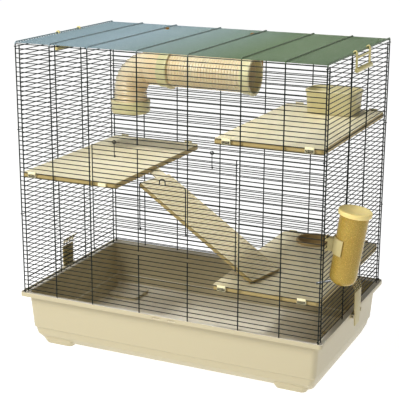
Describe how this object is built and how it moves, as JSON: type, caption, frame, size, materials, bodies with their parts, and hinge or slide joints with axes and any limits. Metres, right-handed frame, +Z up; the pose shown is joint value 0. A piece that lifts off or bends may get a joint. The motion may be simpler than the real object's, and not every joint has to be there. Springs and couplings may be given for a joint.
{
  "type": "hamster cage",
  "caption": "Tall wire rodent cage on a deep plastic tray, with nested drop-down doors, shelves, a ramp, a climbing tube, a bowl and a drinking bottle.",
  "frame": {"origin": "centre of the tray's footprint, on the floor under its feet", "axes": "X along the cage's width, with the bottle at +X; -Y is the front with the doors; Z is up"},
  "size_m": [0.9249, 0.502, 0.8055],
  "materials": {
    "tray_plastic": "satin moulded cream plastic",
    "clip_plastic": "satin moulded beige plastic",
    "painted_wire": "gloss dark green coated wire",
    "handle_plastic": "satin moulded plastic",
    "platform_plastic": "fine grained moulded plastic",
    "ring_plastic": "satin olive plastic",
    "collar_plastic": "satin brown plastic",
    "tube_plastic": "translucent ribbed plastic",
    "hanger_plastic": "translucent amber plastic",
    "bowl_plastic": "satin khaki plastic",
    "bottle_plastic": "translucent honey yellow plastic",
    "lid_plastic": "satin honey plastic",
    "seal_rubber": "soft rubber",
    "steel": "bright steel"
  },
  "bodies": {
    "tray": {"tray": "tray_plastic", "clip_pins": "steel"},
    "cage": {"front_grille": "painted_wire", "roof_grille": "painted_wire", "back_grille": "painted_wire", "left_grille": "painted_wire", "right_grille": "painted_wire", "left_platform": "platform_plastic", "upper_platform": "platform_plastic", "lower_platform": "platform_plastic", "platform_ring": "collar_plastic", "platform_hooks": "platform_plastic", "tube_collar": "ring_plastic", "tube_elbow": "tube_plastic", "tube_joint_ring": "ring_plastic", "straight_tube": "tube_plastic", "tube_end_ring": "ring_plastic", "tube_hangers": "hanger_plastic", "bottle_holder": "clip_plastic"},
    "left_clip": {"left_tray_clip": "clip_plastic"},
    "right_clip": {"right_tray_clip": "clip_plastic"},
    "big_door": {"big_door": "painted_wire"},
    "small_door": {"small_door": "painted_wire"},
    "left_hook": {"left_door_hook": "painted_wire"},
    "right_hook": {"right_door_hook": "painted_wire"},
    "left_handle": {"left_handle": "handle_plastic"},
    "right_handle": {"right_handle": "handle_plastic"},
    "ramp": {"ramp": "platform_plastic"},
    "bowl": {"food_bowl": "bowl_plastic"},
    "bottle": {"bottle_body": "bottle_plastic", "bottle_seal": "seal_rubber", "bottle_spout": "steel", "spout_ball": "steel"},
    "lid": {"bottle_lid": "lid_plastic"}
  },
  "joints": [
    {"name": "cage_lift", "type": "slide", "parent": "tray", "child": "cage", "axis": [0, 0, 1], "range_m": [0, 0.25]},
    {"name": "left_clip_turn", "type": "hinge", "parent": "tray", "child": "left_clip", "pos_m": [-0.4182, 0, 0.142], "axis": [0, -1, 0], "range_deg": [0, 25]},
    {"name": "right_clip_turn", "type": "hinge", "parent": "tray", "child": "right_clip", "pos_m": [0.4182, 0, 0.142], "axis": [0, 1, 0], "range_deg": [0, 25]},
    {"name": "big_door_hinge", "type": "hinge", "parent": "cage", "child": "big_door", "pos_m": [0, -0.24215, 0.2958], "axis": [1, 0, 0], "range_deg": [0, 110]},
    {"name": "small_door_hinge", "type": "hinge", "parent": "big_door", "child": "small_door", "pos_m": [0, -0.24215, 0.3654], "axis": [1, 0, 0], "range_deg": [0, 90]},
    {"name": "left_hook_turn", "type": "hinge", "parent": "big_door", "child": "left_hook", "pos_m": [-0.1295, -0.24215, 0.5394], "axis": [1, 0, 0], "range_deg": [0, 150]},
    {"name": "right_hook_turn", "type": "hinge", "parent": "big_door", "child": "right_hook", "pos_m": [0.1295, -0.24215, 0.5394], "axis": [1, 0, 0], "range_deg": [0, 150]},
    {"name": "left_handle_turn", "type": "hinge", "parent": "cage", "child": "left_handle", "pos_m": [-0.403, 0, 0.8], "axis": [0, 1, 0], "range_deg": [0, 175]},
    {"name": "right_handle_turn", "type": "hinge", "parent": "cage", "child": "right_handle", "pos_m": [0.403, 0, 0.8], "axis": [0, -1, 0], "range_deg": [0, 175]},
    {"name": "ramp_tilt", "type": "hinge", "parent": "cage", "child": "ramp", "pos_m": [-0.139, -0.028, 0.4584], "axis": [-0.2284, -0.9736, 0], "range_deg": [0, 25]},
    {"name": "bowl_lift", "type": "slide", "parent": "cage", "child": "bowl", "axis": [0, 0, 1], "range_m": [0, 0.1]},
    {"name": "bottle_pull", "type": "slide", "parent": "cage", "child": "bottle", "axis": [0.9397, 0, 0.342], "range_m": [0, 0.12]},
    {"name": "lid_turn", "type": "hinge", "parent": "bottle", "child": "lid", "pos_m": [0.437, -0.19, 0.284], "axis": [0.1444, 0, 0.9895], "continuous": true}
  ]
}
